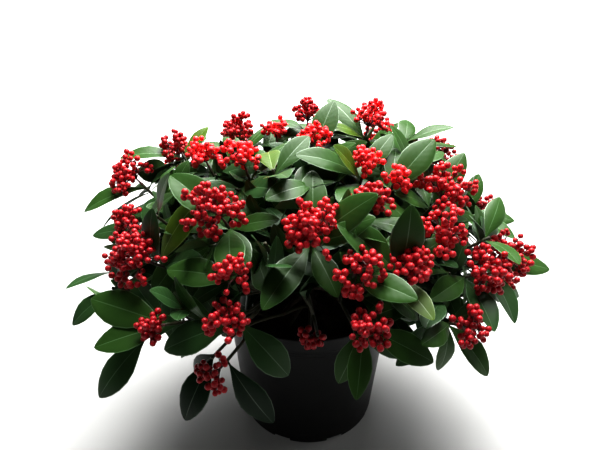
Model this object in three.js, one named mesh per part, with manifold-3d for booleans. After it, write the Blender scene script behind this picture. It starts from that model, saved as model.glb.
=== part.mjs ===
// A berried skimmia in a round black container pot: a low, wide evergreen shrub.
//
// A few woody stems rise from the compost and fork into boughs. Each bough carries one mass of
// foliage: twigs that end in a head of fruit over a whorl of leaves, with a leafy side shoot under it.
// Millimetres, +Z up. The origin is the middle of the pot's flat underside, and -Y is the front.
import * as THREE from "three";
import { mergeVertices } from "three/addons/utils/BufferGeometryUtils.js";
import Module from "manifold-3d";

const wasm = await Module();
wasm.setup();

// ---------- Driving dimensions ----------

const GAP = 0.3; // clearance between pieces that meet
const SIDES = 40; // facets round the pot and its compost

const POT = {
  height: 196,
  baseRadius: 97,
  wallTopRadius: 112, // outside of the wall where the rim band starts
  rimRadius: 116,
  rimBand: 21,
  wall: 2.4,
  floor: 3,
  drains: 8, // slots through the foot of the wall
  drainDepth: 24,
  drainWidth: 24,
  drainHeight: 5,
};
// The compost's edge lies this far under the rim, and its middle rises by the mound.
const COMPOST = { below: 18, mound: 5 };

// The crown is a flattened dome of shoot tips, squashed a little from front to back. It stands on a level
// "middle", goes up and down from there, and its boughs spread from the "foot".
const CROWN = { radiusX: 258, radiusY: 225, middle: 240, up: 165, down: 60, foot: 205 };

// Woody parts: radii, and where each starts. "share" is how far out along its line a bough ends.
const STEM = { count: 5, firstAzimuth: 270, ring: 22, lean: 22, height: 58, flare: 12, base: 8, tip: 5 };
const BOUGH = { base: 4.2, tip: 2.8, share: 0.6, lowest: 0.3, highest: 0.85, overRim: 18 };
const TWIG = { knot: 3.4, base: 2.2, tip: 1.8, fork: 9, neck: 38 };
const SHOOT = { below: 26, length: 36, radius: 1.6, tilt: 56 };

// A head of fruit: its dips between berries and the meeting of its stalks as shares of the radius, how far
// its foot is sunk past the twig's tip, and its facets.
const HEAD = { hollow: 0.8, stalk: 0.6, sunk: 5, round: 8, rows: 4 };

// A leaf: length and its spread, then shares of that length, and [share along, share of the width].
const LEAF = { length: 83, spread: 10, width: 0.38, keel: 0.022, narrow: [0.26, 0.6], wide: 0.62 };

// The leaves of a shoot: degrees off its axis and of their bend, and how far below the tip they start.
const WHORL = { leaves: 5, pitch: 68, bend: 34, scale: 0.88, step: 2.4, below: 6.5 };
const LOWER = { leaves: 3, pitch: 84, bend: 40, scale: 0.95, step: 5, below: 26 };
const ROSETTE = { leaves: 5, pitch: 56, bend: 26, scale: 0.84, step: 2.4, below: 2 };
const TURN = 137.508; // degrees from one leaf to the next round its stem

// The room a leaf keeps from other things. Seeded leaves also stay over a skirt that rises outwards from
// the pot's rim.
const ROOM = { tries: 5, leaf: 7.5, head: -3, bough: 7, twig: 4, pot: 5, ground: 14 };
const SKIRT = { height: 190, slope: 0.3 };

// The light that heads of fruit and shown leaves keep. Seeded leaves stay out of a row of round places
// that leads up from a head, and out of one from a head or a shown leaf to where the plant is looked at
// from. A head's step and radius are shares of its own.
const ONLOOKER = [0, -600, 600];
const HEAD_LIGHT = { places: 4, step: 0.8, radius: 0.9 };
const LEAF_LIGHT = { places: 4, first: 16, step: 18, radius: 11, shares: [0.3, 0.6, 0.88], turn: 0.7 };

// How far seeded leaves reach against the dome, which is taller and deeper for them, and the opening
// under the crown at the front: degrees round, and a ceiling that rises outwards from over the pot's rim.
const LIMIT = { reach: 1.1, up: 1.14, down: 3 };
const MOUTH = { middle: 266, halfWidth: 25, height: 262, slope: 0.67, inmost: 40 };

// Where the shoots end. "at" is degrees round from +X, degrees from the vertical, and the reach against
// the dome. "fruit" shoots bear a head of fruit of a radius, "size", and "leafy" ones only leaves. "set"
// is the leaves that show most: degrees round, degrees above the level, size. A seeded rule adds the rest.
const FRONT = [
  {
    name: "front",
    fruit: [
      {
        at: [270, 42],
        size: 34,
        set: [[85, 45], [335, 45, 1.15], [235, -20, 1.1], [295, -25, 0.8], [335, 35]],
      },
    ],
    leafy: [{ at: [256, 47] }, { at: [272, 86, 0.76] }],
  },
  {
    name: "front_low",
    fruit: [{ at: [270, 114, 0.62], size: 17 }],
    leafy: [{ at: [240, 118, 0.95], set: [[220, -55], [145, -50, 0.8]] }],
  },
  {
    name: "front_left",
    fruit: [
      { at: [250, 58], size: 23, set: [[165, 0]] },
      { at: [251, 72], size: 23, set: [[185, -25], [350, -50]] },
    ],
    leafy: [],
  },
  {
    name: "front_right",
    fruit: [
      { at: [282, 55], size: 25, set: [[315, 5, 0.9]] },
      { at: [283, 73], size: 24, set: [[355, -30], [215, -65, 0.8], [260, -46, 0.85]] },
    ],
    leafy: [],
  },
  {
    name: "left_front_low",
    fruit: [
      { at: [231, 82], size: 20, set: [[165, 10, 1.15], [192, -12]] },
      { at: [246, 112], size: 21, set: [[340, -55, 1.1]] },
    ],
    leafy: [{ at: [222, 104], set: [[210, -46, 1.1]] }],
  },
  {
    name: "left_front",
    fruit: [{ at: [215, 64], size: 37, set: [[310, 85, 0.9], [20, 55, 1.15]] }],
    leafy: [{ at: [208, 50], set: [[325, 65, 0.8]] }],
  },
  {
    name: "left",
    fruit: [{ at: [195, 60], size: 20, set: [[175, -10, 0.8]] }],
    leafy: [{ at: [205, 84], set: [[200, -35, 0.85]] }, { at: [190, 88], set: [[235, 10, 0.85]] }],
  },
  {
    name: "upper_left",
    fruit: [
      { at: [174, 52, 1.13], size: 29, set: [[185, -20, 1.1]] },
      { at: [160, 40, 1.12], size: 23, set: [[185, 3, 1.05], [55, 38, 0.7]] },
      { at: [174, 31], size: 24 },
    ],
    leafy: [],
  },
  {
    name: "upper_front_left",
    fruit: [
      { at: [234, 40], size: 36, set: [[150, 30, 1.1], [260, -25], [340, 20, 0.75]] },
      { at: [208, 20], size: 25 },
    ],
    leafy: [{ at: [242, 20], set: [[100, 2, 0.85], [45, 30, 0.8]] }],
  },
  {
    name: "top_left",
    fruit: [{ at: [137, 28, 1.07], size: 25 }, { at: [116, 23, 1.02], size: 20, set: [[40, 15, 0.8]] }],
    leafy: [],
  },
  {
    name: "top",
    fruit: [
      { at: [73, 3], size: 22, set: [[65, 20, 0.8], [60, 45]] },
      { at: [91, 19, 1.12], size: 23, set: [[140, 5, 0.8]] },
    ],
    leafy: [],
  },
  {
    name: "top_right",
    fruit: [{ at: [45, 23, 1.13], size: 28, set: [[135, 30], [200, 20, 0.8]] }],
    leafy: [{ at: [30, 33, 1.08], set: [[350, 22, 0.8], [75, 15, 0.8]] }, { at: [347, 29] }],
  },
  {
    name: "upper_front_right",
    fruit: [
      { at: [315, 20], size: 24, set: [[200, 25, 1.1], [45, 40, 0.85], [210, 45, 0.8]] },
      { at: [294, 35], size: 24 },
    ],
    leafy: [{ at: [272, 24], set: [[215, -5, 0.8]] }],
  },
  {
    name: "right_high",
    fruit: [
      { at: [335, 41], size: 32, set: [[45, 40], [210, 30, 0.8]] },
      { at: [318, 29], size: 20, set: [[75, 30, 0.8], [35, 35, 1.05]] },
    ],
    leafy: [],
  },
  {
    name: "right_front",
    fruit: [
      { at: [313, 50], size: 28 },
      { at: [321, 68], size: 30, set: [[220, 0, 0.8], [280, -15, 0.9]] },
    ],
    leafy: [{ at: [334, 61], set: [[60, 28, 0.82], [285, 5, 0.8]] }],
  },
  {
    name: "right_front_low",
    fruit: [
      { at: [296, 57], size: 27, set: [[285, 85], [185, 45, 1.1], [30, 25, 0.8], [295, -10, 0.8]] },
      {
        at: [308, 81],
        size: 22,
        set: [[230, 10, 0.8], [160, -90, 0.8], [335, -45, 0.9], [20, 5, 0.8]],
      },
    ],
    leafy: [],
  },
  {
    name: "right",
    fruit: [
      { at: [339, 72], size: 30, set: [[355, -5, 0.95], [280, -20, 1.05]] },
      { at: [352, 96], size: 22, set: [[10, -35, 0.8]] },
    ],
    leafy: [{ at: [330, 86, 0.88] }],
  },
];
// Behind, the same kind of group repeats at even steps.
const BACK = { count: 5, firstAzimuth: 30, step: 30, high: 50, low: 72, skirt: 86 };

const MATERIALS = {
  pot: new THREE.MeshStandardMaterial({ color: 0x141416, roughness: 0.55, metalness: 0 }),
  compost: new THREE.MeshStandardMaterial({ color: 0x2a2019, roughness: 1, metalness: 0 }),
  bark: new THREE.MeshStandardMaterial({ color: 0x5b4a38, roughness: 0.9, metalness: 0 }),
  foliage: new THREE.MeshStandardMaterial({ color: 0x2c5a33, roughness: 0.5, metalness: 0 }),
};

// ---------- Small tools ----------

const UP = new THREE.Vector3(0, 0, 1);
const rad = THREE.MathUtils.degToRad;
const lerp = THREE.MathUtils.lerp;
const vec = (x, y, z) => new THREE.Vector3(x, y, z);
const mixed = (a, b, t) => a.clone().lerp(b, t);
const along = (point, direction, distance) => point.clone().addScaledVector(direction, distance);

// A repeatable number from 0 to 1 for a shoot, a leaf on it and a purpose.
function chance(shoot, leaf, purpose) {
  const wave = Math.sin(shoot * 12.9898 + leaf * 78.233 + purpose * 37.719) * 43758.5453;
  return wave - Math.floor(wave);
}

// A level direction at right angles to another one.
function levelSide(axis) {
  return vec(-axis.y, axis.x + 1e-6, 0).normalize();
}

// A closed geometry as a solid, with its shared vertices merged.
function solid(geometry) {
  const bare = new THREE.BufferGeometry().setAttribute("position", geometry.getAttribute("position"));
  if (geometry.index) bare.setIndex(geometry.index);
  const merged = mergeVertices(bare, 1e-3);
  return new wasm.Manifold(
    new wasm.Mesh({
      numProp: 3,
      vertProperties: merged.getAttribute("position").array,
      triVerts: new Uint32Array(merged.index.array),
    }),
  );
}

// A solid as a flat-shaded, named mesh.
function meshOf(name, body, material) {
  const { vertProperties, triVerts } = body.getMesh();
  const geometry = new THREE.BufferGeometry();
  geometry.setAttribute("position", new THREE.BufferAttribute(vertProperties, 3));
  geometry.setIndex(new THREE.BufferAttribute(triVerts, 1));
  const flat = geometry.toNonIndexed();
  flat.computeVertexNormals();
  const mesh = new THREE.Mesh(flat, material);
  mesh.name = name;
  return mesh;
}

// Moves each vertex of a geometry to where place(vertex) says.
function reshape(geometry, place) {
  const at = geometry.getAttribute("position");
  const v = new THREE.Vector3();
  for (let i = 0; i < at.count; i++) at.setXYZ(i, ...place(v.fromBufferAttribute(at, i)).toArray());
  return geometry;
}

// A tapering limb: a cylinder bent to follow a row of points, with radiusAt(share of the row).
function limb(points, radiusAt, sides) {
  const last = points.length - 1;
  const side = levelSide(points[1].clone().sub(points[0]).normalize());
  const frames = points.map((point, i) => {
    const ahead = points[Math.min(i + 1, last)].clone();
    const heading = ahead.sub(points[Math.max(i - 1, 0)]).normalize();
    side.addScaledVector(heading, -side.dot(heading)).normalize();
    return { point, side: side.clone(), across: side.clone().cross(heading) };
  });
  const geometry = new THREE.CylinderGeometry(1, 1, 1, sides, last);
  return reshape(geometry, ({ x, y, z }) => {
    const share = y + 0.5;
    const { point, side, across } = frames[Math.round(share * last)];
    const radius = radiusAt(share);
    return point.clone().addScaledVector(side, x * radius).addScaledVector(across, z * radius);
  });
}

// Points along a curve that leaves a towards b and arrives at c.
const bow = (a, b, c, steps) => new THREE.QuadraticBezierCurve3(a, b, c).getPoints(steps);

// ---------- Pot and compost ----------

// Outside and inside radius of the pot's wall at a height.
const outsideAt = (z) => lerp(POT.baseRadius, POT.wallTopRadius, z / (POT.height - POT.rimBand));
const insideAt = (z) => outsideAt(z) - POT.wall;

function lathe(profile) {
  const points = profile.map(([r, z]) => new THREE.Vector2(r, z));
  return new THREE.LatheGeometry(points, SIDES).rotateX(Math.PI / 2);
}

function potBody() {
  const { height, rimBand, rimRadius, floor, drains, drainDepth, drainWidth, drainHeight } = POT;
  const rimFoot = height - rimBand;
  let body = solid(
    lathe([
      [0, 0],
      [POT.baseRadius - 2, 0],
      [POT.baseRadius, 2],
      [outsideAt(rimFoot), rimFoot],
      [rimRadius - 0.8, rimFoot + 0.8],
      [rimRadius, height - 1.5],
      [rimRadius - 1.2, height],
      [insideAt(height), height],
      [insideAt(floor), floor],
      [0, floor],
    ]),
  );
  for (let i = 0; i < drains; i++) {
    const slot = new THREE.BoxGeometry(drainDepth, drainWidth, 2 * drainHeight)
      .translate(POT.baseRadius + 2, 0, 0)
      .rotateZ(((i + 0.5) * 2 * Math.PI) / drains);
    body = body.subtract(solid(slot));
  }
  return body;
}

const COMPOST_EDGE = POT.height - COMPOST.below;
const COMPOST_TOP = COMPOST_EDGE + COMPOST.mound;

const compostBody = () =>
  solid(
    lathe([
      [0, POT.floor + GAP],
      [insideAt(POT.floor) - 2 * GAP, POT.floor + GAP],
      [insideAt(COMPOST_EDGE) - 2 * GAP, COMPOST_EDGE],
      [STEM.ring + 30, COMPOST_TOP],
      [0, COMPOST_TOP],
    ]),
  );

// ---------- The crown's frame ----------

// A point on the crown's dome, and the way a shoot there points: less steeply than the dome itself.
function onDome({ at: [azimuth, tilt, reach = 1] }) {
  const round = rad(azimuth);
  const down = rad(tilt);
  const rise = Math.cos(down);
  const point = vec(
    CROWN.radiusX * reach * Math.sin(down) * Math.cos(round),
    CROWN.radiusY * reach * Math.sin(down) * Math.sin(round),
    CROWN.middle + (rise > 0 ? CROWN.up * reach : CROWN.down) * rise,
  );
  const lean = rad(0.8 * tilt);
  const axis = vec(Math.sin(lean) * Math.cos(round), Math.sin(lean) * Math.sin(round), Math.cos(lean));
  return { point, axis, tilt };
}

function backMasses() {
  return Array.from({ length: BACK.count }, (_, i) => {
    const azimuth = BACK.firstAzimuth + i * BACK.step;
    return {
      name: `back_${i + 1}`,
      fruit: [
        { at: [azimuth, BACK.high, 1.06], size: 29 },
        { at: [azimuth - BACK.step / 2, BACK.low], size: 27 },
      ],
      leafy: [{ at: [azimuth + BACK.step / 2, BACK.skirt] }],
    };
  });
}

const crownFoot = vec(0, 0, CROWN.foot);

const masses = [...FRONT, ...backMasses()].map(({ name, fruit, leafy }, m) => {
  const ends = [...fruit, ...leafy].map((spot, e) => ({
    ...onDome(spot),
    set: spot.set ?? [],
    size: spot.size,
    shoot: 10 * m + e,
    fruiting: e < fruit.length,
  }));
  const middle = vec(0, 0, 0);
  for (const end of ends) middle.addScaledVector(end.point, 1 / ends.length);
  const root = mixed(crownFoot, middle, BOUGH.share);
  root.z = Math.max(root.z, POT.height + BOUGH.overRim);
  const tilt = ends.reduce((sum, end) => sum + end.tilt, 0) / ends.length;
  return { name, ends, middle, root, tilt, towards: middle.clone().sub(root).normalize(), parts: [] };
});

// Each head of fruit keeps to its size, or to what its neighbours and the pot's rim leave it.
const heads = masses.flatMap((mass) => mass.ends.filter((end) => end.fruiting));
for (const head of heads) {
  const shares = heads
    .filter((other) => other !== head)
    .map((other) => (other.point.distanceTo(head.point) * head.size) / (head.size + other.size));
  const { x, y, z } = head.point;
  const rim = Math.hypot(Math.hypot(x, y) - POT.rimRadius, z - POT.height);
  head.radius = Math.min(head.size, ...shares.map((share) => share - GAP), rim - ROOM.pot);
}

// ---------- Stems and boughs ----------

const limbs = [];
const posts = []; // round places that a leaf stays out of

function keepClear(points, radius) {
  for (let i = 1; i < points.length; i++) {
    for (let t = 0; t < 4; t++) posts.push({ point: mixed(points[i - 1], points[i], t / 4), radius });
  }
}

for (let i = 0; i < STEM.count; i++) {
  const round = rad(STEM.firstAzimuth + (i * 360) / STEM.count);
  const out = vec(Math.cos(round), Math.sin(round), 0);
  const foot = along(vec(0, 0, COMPOST_TOP + GAP), out, STEM.ring);
  const tip = along(along(foot, out, STEM.lean), UP, STEM.height);
  const collar = along(foot, UP, 2);
  const curve = new THREE.QuadraticBezierCurve3(collar, along(foot, UP, STEM.height / 2), tip);
  const flare = (share) => (STEM.flare - STEM.base) * Math.max(0, 1 - 5 * share);
  const radiusAt = (share) => lerp(STEM.base, STEM.tip, share) + flare(share);
  const points = [foot, ...curve.getPoints(4)];
  const grown = (row, extra) => solid(limb(row, (share) => radiusAt(share) + extra, 6));
  const beyond = along(tip, curve.getTangent(1), GAP);
  const shell = grown([...points.slice(0, -1), beyond], GAP);
  limbs.push({ name: `stem_${i + 1}`, body: grown(points, 0), shell, out, curve });
  keepClear(points, ROOM.bough + STEM.base);
}

// Each mass hangs on the stem on its own side of the plant. The steepest bough carries its line on.
const stems = [...limbs];
for (const stem of stems) {
  const carried = masses.filter((mass) => {
    const flat = vec(mass.middle.x, mass.middle.y, 0);
    return stems.every((other) => stem.out.dot(flat) >= other.out.dot(flat));
  });
  carried.sort((a, b) => b.tilt - a.tilt);
  carried.forEach((mass, i) => {
    const leader = i === carried.length - 1;
    const height = leader ? 1 : lerp(BOUGH.lowest, BOUGH.highest, i / (carried.length - 1));
    const start = stem.curve.getPoint(height);
    const span = start.distanceTo(mass.root);
    const onward = stem.curve.getTangent(1);
    if (leader) start.addScaledVector(onward, -STEM.tip / 2);
    const knee = leader ? along(start, onward, span * 0.45) : along(mass.root, mass.towards, -span * 0.5);
    knee.z = Math.max(knee.z, start.z);
    const points = bow(start, knee, mass.root, 4);
    const thick = (share) => lerp(BOUGH.base, BOUGH.tip, share);
    const body = limbs.reduce((rest, { shell }) => rest.subtract(shell), solid(limb(points, thick, 4)));
    const shell = solid(limb(points, (share) => thick(share) + GAP, 4));
    mass.heading = points[4].clone().sub(points[3]).normalize();
    limbs.push({ name: `bough_${mass.name}`, body, shell });
    keepClear(points, ROOM.bough);
  });
}

// ---------- Leaves ----------

// The leaves of one shoot, last first. Each is a function of the try it is at, which lifts and turns it.
function leavesOf({ shoot, axis, tilt, set = [] }, kind, tip, group = 0) {
  const side = levelSide(axis);
  const across = side.clone().cross(axis);
  const droop = 0.6 * THREE.MathUtils.smoothstep(tilt, 60, 110);
  const count = group ? kind.leaves : Math.max(1, kind.leaves - set.length);
  return Array.from({ length: count }, (_, k) => (attempt) => {
    const number = k + 10 * group;
    const turn = rad(TURN * (k + 7 * group) + 360 * chance(shoot, 0, 1) + 17 * attempt);
    const pitch = rad(kind.pitch + 22 * (chance(shoot, number, 2) - 0.5) - 9 * attempt);
    const direction = axis
      .clone()
      .multiplyScalar(Math.cos(pitch))
      .addScaledVector(side, Math.sin(pitch) * Math.cos(turn))
      .addScaledVector(across, Math.sin(pitch) * Math.sin(turn))
      .addScaledVector(UP, -droop)
      .normalize();
    const face = along(axis, UP, 0.5);
    face.addScaledVector(direction, -face.dot(direction)).normalize();
    const spread = LEAF.spread * (2 * chance(shoot, number, 3) - 1);
    const length = (LEAF.length + spread) * kind.scale * (1 - 0.05 * attempt);
    const bend = rad(kind.bend * (0.7 + 0.6 * chance(shoot, number, 4)));
    const below = kind.below + kind.step * (k + (group ? 0 : set.length));
    return { base: along(tip, axis, -below), direction, face, length, bend, shoot };
  });
}

// The way from a place to where the plant is looked at from.
const wayToLook = (place) => vec(...ONLOOKER).sub(place).normalize();

// The leaves that are set by hand at a shoot: each is where its tip lies, seen from its foot. They turn
// their faces towards the onlooker.
function setLeaves({ set, axis, shoot }, tip) {
  return set.map(([azimuth, elevation, size = 1], k) => (attempt) => {
    const round = rad(azimuth + (attempt % 2 ? 6 : -6) * attempt);
    const rise = rad(elevation + 5 * attempt);
    const towards = vec(
      Math.cos(rise) * Math.cos(round),
      Math.cos(rise) * Math.sin(round),
      Math.sin(rise),
    );
    const base = along(tip, axis, -WHORL.below - WHORL.step * k);
    const face = along(along(axis, UP, 0.5), wayToLook(base), LEAF_LIGHT.turn);
    face.addScaledVector(towards, -face.dot(towards)).normalize();
    const bend = rad(WHORL.bend * (0.7 + 0.6 * chance(shoot, k, 8)));
    const hinge = towards.clone().cross(face);
    return {
      base,
      direction: towards.applyAxisAngle(hinge, bend / 2),
      face: face.applyAxisAngle(hinge, bend / 2),
      length: LEAF.length * size,
      bend,
      shoot,
      shown: true,
    };
  });
}

// A point on a leaf: share is how far along its curved midline, and the rest is across and above it.
function onLeaf({ base, direction, face, length, bend }, share, across, above) {
  const arc = bend * share;
  return base
    .clone()
    .addScaledVector(direction, (length * Math.sin(arc)) / bend)
    .addScaledVector(face, (-length * (1 - Math.cos(arc))) / bend + above)
    .addScaledVector(face.clone().cross(direction), across);
}

// A leaf with a narrow foot, its widest part past the middle, a pointed tip and a keel underneath.
function leafBody(leaf) {
  const rings = [[0, 0], LEAF.narrow, [LEAF.wide, 1], [1, 0]];
  return solid(
    reshape(new THREE.SphereGeometry(1, 3, 3), ({ x, y, z }) => {
      const [share, width] = rings[Math.round((Math.acos(-y) * 3) / Math.PI)];
      const across = (leaf.length * LEAF.width * width * Math.sign(Math.round(z * 10))) / 2;
      const keel = x < -0.1 ? -leaf.length * LEAF.keel * Math.sign(width) : 0;
      return onLeaf(leaf, share, across, keel);
    }),
  );
}

// Points that stand for a leaf where only its room matters.
function probesOf(leaf) {
  const half = (leaf.length * LEAF.width) / 2;
  const spots = [[0.35, 0.6], [0.62, 0.9], [0.9, 0.35]];
  return spots.flatMap(([share, width]) =>
    [-1, 0, 1].map((hand) => onLeaf(leaf, share, hand * half * width, 0)),
  );
}

// How far a place lies out of the dome, as a share of its radii.
function outOfDome({ x, y, z }) {
  const rise = z - CROWN.middle;
  const radiusZ = rise > 0 ? CROWN.up * LIMIT.up : CROWN.down * LIMIT.down;
  return Math.hypot(x / CROWN.radiusX, y / CROWN.radiusY, rise / radiusZ);
}

function inTheMouth({ x, y, z }) {
  const out = Math.hypot(x, y);
  const turn = (THREE.MathUtils.radToDeg(Math.atan2(y, x)) + 360) % 360;
  const ceiling = MOUTH.height + MOUTH.slope * (out - POT.rimRadius);
  return Math.abs(turn - MOUTH.middle) < MOUTH.halfWidth && out > MOUTH.inmost && z < ceiling;
}

const lowestAt = ({ x, y }, leaf) =>
  leaf.shown ? ROOM.ground : SKIRT.height + SKIRT.slope * (Math.hypot(x, y) - POT.rimRadius);
const offThePot = (p) => p.z > POT.height + ROOM.pot || Math.hypot(p.x, p.y) > POT.rimRadius + ROOM.pot;
const apartFrom = (p, places) => places.every(({ point, radius }) => point.distanceTo(p) > radius);

// ---------- Heads of fruit ----------

// A head is a dome of lumps, its berries, on a short fan of stalks.
function headBody({ point, axis, radius, shoot }) {
  const turned = new THREE.Quaternion().setFromUnitVectors(UP, axis);
  const { round, rows, hollow } = HEAD;
  return solid(
    reshape(new THREE.SphereGeometry(1, round, rows), (v) => {
      const row = Math.round((Math.acos(v.y) * rows) / Math.PI);
      const column = Math.round((Math.atan2(v.z, -v.x) * round) / (2 * Math.PI));
      const pole = row === 0 || row === rows;
      const berry = pole || (row + column) % 2 === 0;
      const size = radius * (berry ? 1 : hollow);
      const foot = -(HEAD.stalk * radius + HEAD.sunk);
      return vec(v.x * size, -v.z * size, row === rows ? foot : v.y * size)
        .applyAxisAngle(UP, shoot)
        .applyQuaternion(turned)
        .add(point);
    }),
  );
}

// ---------- Growing the masses ----------

// Twigs and heads come first, so that the leaves find their room round them.
for (const mass of masses) {
  const start = along(mass.root, mass.heading, GAP);
  const fork = along(start, mass.heading, TWIG.fork);
  const knot = solid(limb([start, fork], (share) => lerp(BOUGH.tip, TWIG.knot, share), 5));
  mass.parts.push({ body: knot });
  mass.leaves = [];
  mass.shown = [];
  for (const end of mass.ends) {
    const { point, axis, tilt, shoot, fruiting, radius } = end;
    const tip = fruiting ? along(point, axis, -HEAD.stalk * radius) : point;
    const neck = along(tip, axis, -TWIG.neck);
    const foot = along(fork, mass.heading, -0.4 * TWIG.fork);
    const points = [...bow(foot, along(neck, axis, -0.4 * foot.distanceTo(neck)), neck, 2), tip];
    mass.parts.push({ shoot, body: solid(limb(points, (share) => lerp(TWIG.base, TWIG.tip, share), 3)) });
    keepClear(points, ROOM.twig);
    const kind = fruiting ? WHORL : { ...ROSETTE, leaves: ROSETTE.leaves + 1 };
    mass.shown.push(...setLeaves(end, tip));
    mass.leaves.push(...leavesOf(end, kind, tip));
    if (!fruiting) continue;
    mass.leaves.push(...leavesOf(end, LOWER, tip, 1));
    mass.parts.push({ body: headBody(end) });
    posts.push({ point, radius: radius + ROOM.head });
    for (const way of mass.name.startsWith("back") ? [axis] : [axis, wayToLook(point)]) {
      for (let i = 1; i <= HEAD_LIGHT.places; i++) {
        const spot = along(point, way, radius * HEAD_LIGHT.step * i);
        posts.push({ point: spot, radius: radius * HEAD_LIGHT.radius });
      }
    }
    const swing = levelSide(axis).applyAxisAngle(axis, rad(360 * chance(shoot, 0, 7)));
    const away = axis.clone().applyAxisAngle(swing, rad(SHOOT.tilt));
    const from = along(tip, axis, -SHOOT.below);
    const to = along(from, away, SHOOT.length);
    if (!offThePot(to)) continue;
    mass.side = mass.side ?? [];
    mass.side.push({ from, away, to, tilt, shoot: shoot + 5, parent: shoot });
  }
}

function meets(piece, other, gap) {
  const { min, max } = piece.boundingBox();
  const box = other.boundingBox();
  if ([0, 1, 2].some((i) => min[i] > box.max[i] + 1 || max[i] < box.min[i] - 1)) return false;
  return piece.minGap(other, 1) <= gap;
}

// Whether a piece stays clear of the limbs and the other masses.
const clearOfOthers = (mass, piece) =>
  limbs.every(({ body }) => !meets(piece, body, 2 * GAP)) &&
  masses.every((other) => other === mass || other.parts.every(({ body }) => !meets(piece, body, 2 * GAP)));
// Whether it meets nothing of its own mass but the twig it grows on.
const clearOfOwn = (mass, twig, piece) =>
  mass.parts.every(({ body, shoot }) => shoot === twig || !meets(piece, body, 0));

function keepInLight(leaf) {
  for (const share of LEAF_LIGHT.shares) {
    const spot = onLeaf(leaf, share, 0, 0);
    for (let i = 0; i < LEAF_LIGHT.places; i++) {
      const point = along(spot, wayToLook(spot), LEAF_LIGHT.first + LEAF_LIGHT.step * i);
      posts.push({ point, radius: LEAF_LIGHT.radius });
    }
  }
}

// A leaf that finds no room is lifted and turned, and skipped in the end.
const taken = [];

function grow(mass, leafAt) {
  for (let attempt = 0; attempt < ROOM.tries; attempt++) {
    const leaf = leafAt(attempt);
    const probes = probesOf(leaf);
    if (!probes.every((p) => p.z > lowestAt(p, leaf) && offThePot(p) && apartFrom(p, taken))) continue;
    if (!leaf.shown && !probes.every((p) => apartFrom(p, posts) && !inTheMouth(p))) continue;
    if (!leaf.shown && !probes.every((p) => outOfDome(p) < LIMIT.reach)) continue;
    const body = leafBody(leaf);
    if (!clearOfOthers(mass, body)) continue;
    if (!leaf.shown && !clearOfOwn(mass, leaf.shoot, body)) continue;
    mass.parts.push({ body });
    taken.push(...probes.map((point) => ({ point, radius: ROOM.leaf })));
    if (leaf.shown) keepInLight(leaf);
    return;
  }
}

// The shoots take turns.
function growAll(list) {
  const most = Math.max(...masses.map((mass) => mass[list].length));
  for (let k = 0; k < most; k++) {
    for (const mass of masses.filter((one) => k < one[list].length)) grow(mass, mass[list][k]);
  }
}

growAll("shown");

// A leafy side shoot under each head, where it comes clear of the other heads.
for (const mass of masses) {
  for (const { from, away, to, tilt, shoot, parent } of mass.side ?? []) {
    if (!apartFrom(to, posts.filter(({ radius }) => radius > 2 * ROOM.bough))) continue;
    const twig = solid(limb([from, to], () => SHOOT.radius, 3));
    if (!clearOfOthers(mass, twig) || !clearOfOwn(mass, parent, twig)) continue;
    mass.parts.push({ shoot, body: twig });
    keepClear([from, to], ROOM.twig);
    mass.leaves.push(...leavesOf({ shoot, axis: away, tilt }, ROSETTE, to));
  }
}

growAll("leaves");

// ---------- The assembly ----------

const skimmia = new THREE.Group();
skimmia.add(meshOf("pot", potBody(), MATERIALS.pot));
skimmia.add(meshOf("compost", compostBody(), MATERIALS.compost));
for (const { name, body } of limbs) skimmia.add(meshOf(name, body, MATERIALS.bark));
for (const { name, parts } of masses) {
  const body = wasm.Manifold.union(parts.map((part) => part.body));
  skimmia.add(meshOf(`foliage_${name}`, body, MATERIALS.foliage));
}

export default skimmia;
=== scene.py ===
from functools import partial

import bpy
import numpy as np
from mathutils import Matrix


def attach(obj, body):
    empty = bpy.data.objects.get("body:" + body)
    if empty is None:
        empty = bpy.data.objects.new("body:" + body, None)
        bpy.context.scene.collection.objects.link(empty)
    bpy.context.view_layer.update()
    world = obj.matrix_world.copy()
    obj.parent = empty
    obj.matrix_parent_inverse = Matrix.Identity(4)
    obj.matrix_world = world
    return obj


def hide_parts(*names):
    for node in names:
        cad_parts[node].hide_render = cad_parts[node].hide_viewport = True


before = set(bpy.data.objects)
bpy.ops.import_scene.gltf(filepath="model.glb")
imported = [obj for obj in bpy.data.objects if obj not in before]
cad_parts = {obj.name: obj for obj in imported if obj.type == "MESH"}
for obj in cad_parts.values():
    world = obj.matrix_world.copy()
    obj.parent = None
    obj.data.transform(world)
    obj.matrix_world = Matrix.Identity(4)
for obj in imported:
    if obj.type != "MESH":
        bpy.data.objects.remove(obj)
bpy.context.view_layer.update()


# ----------------------------------------------------------------------------------------------
# The pot. Black polypropylene, moulded in one shot: a thin wall that tapers out to a deeper band
# at the rim, a rounded lip, and eight drain slots cored through the foot of the wall.
# Sizes here and below are in millimetres, and become metres where a mesh is made.
# ----------------------------------------------------------------------------------------------

POT_HEIGHT = 196
BASE_RADIUS, WALL_TOP_RADIUS, RIM_RADIUS = 97, 112, 116
RIM_BAND, WALL, POT_FLOOR = 21, 2.4, 3
STEP_BELOW, STEP_OUT, LIP = 9, 0.7, 1.2     # a low step under the band, and how round the lip is
DRAINS, DRAIN_DEPTH, DRAIN_WIDTH, DRAIN_HEIGHT = 8, 24, 24, 5
POT_SIDES, CREASE = 160, 38     # facets round, and the degrees from which an edge is sharp
METRE = 1000


def unit(v):
    """Each vector of an array over its own length."""
    return v / np.maximum(np.linalg.norm(v, axis=-1, keepdims=True), 1e-12)


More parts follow.
